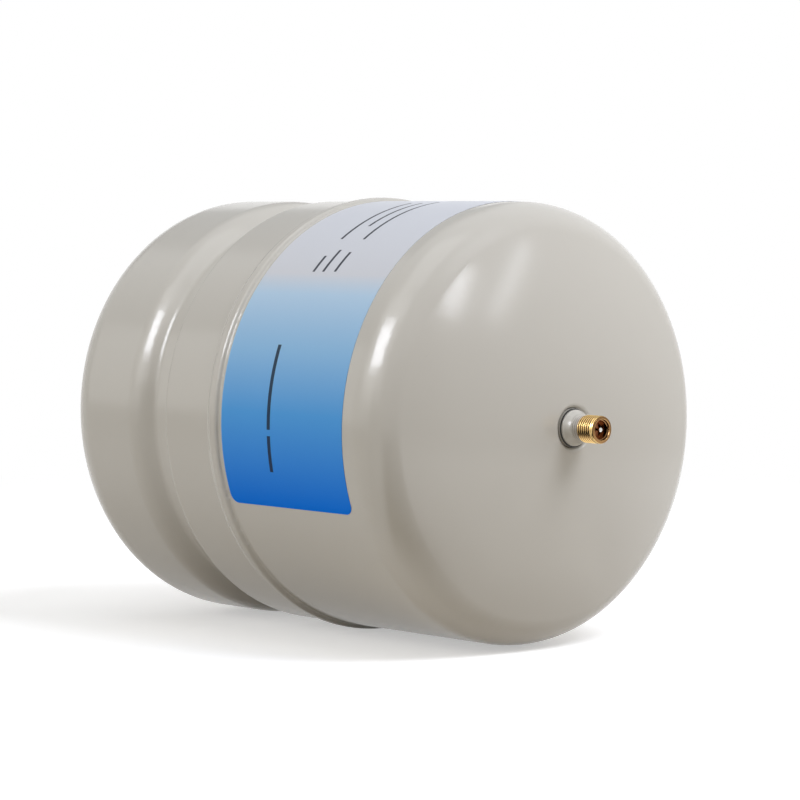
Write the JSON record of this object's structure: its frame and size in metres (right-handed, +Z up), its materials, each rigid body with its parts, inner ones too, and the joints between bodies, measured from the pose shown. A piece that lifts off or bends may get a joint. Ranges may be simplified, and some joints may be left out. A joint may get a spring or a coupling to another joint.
{
  "type": "expansion tank",
  "caption": "Small cylindrical diaphragm expansion tank with domed ends, a lap-welded waist, a rolled groove, a male water connection and an axial air valve.",
  "frame": {"origin": "centre of the water connection, in the plane of its shoulder", "axes": "+X along the tank's axis towards the air valve, +Z up as the tank lies on its side"},
  "size_m": [0.1967, 0.1272, 0.1272],
  "materials": {
    "enamel": "glossy warm beige enamel",
    "stainless": "turned",
    "polypropylene": "moulded, natural",
    "rubber": "moulded, black",
    "zinc_steel": "zinc plated",
    "brass": "turned, bright",
    "nickel_steel": "bright",
    "fluoroplastic": "red, satin",
    "label_film": "printed film, pale grey running to blue"
  },
  "bodies": {
    "tank": {"water_shell": "enamel", "air_shell": "enamel", "seam_weld": "enamel", "connection_weld": "enamel", "connection_nipple": "stainless", "water_liner": "polypropylene", "liner_seal": "rubber", "diaphragm": "rubber", "clench_ring": "zinc_steel", "valve_stem": "brass", "valve_seal": "rubber", "valve_washer": "zinc_steel", "valve_nut": "brass", "core_plug": "brass", "core_barrel": "brass", "core_seal": "fluoroplastic", "core_spring": "nickel_steel", "label": "label_film"},
    "valve_pin": {"core_pin": "nickel_steel", "core_cup": "brass", "core_washer": "rubber"}
  },
  "joints": [
    {"name": "pin_press", "type": "slide", "parent": "tank", "child": "valve_pin", "axis": [-1, 0, 0], "range_m": [0, 0.001], "stiffness_N_per_m": 1200, "springref_m": -0.0018, "deforming": ["core_spring"]}
  ]
}
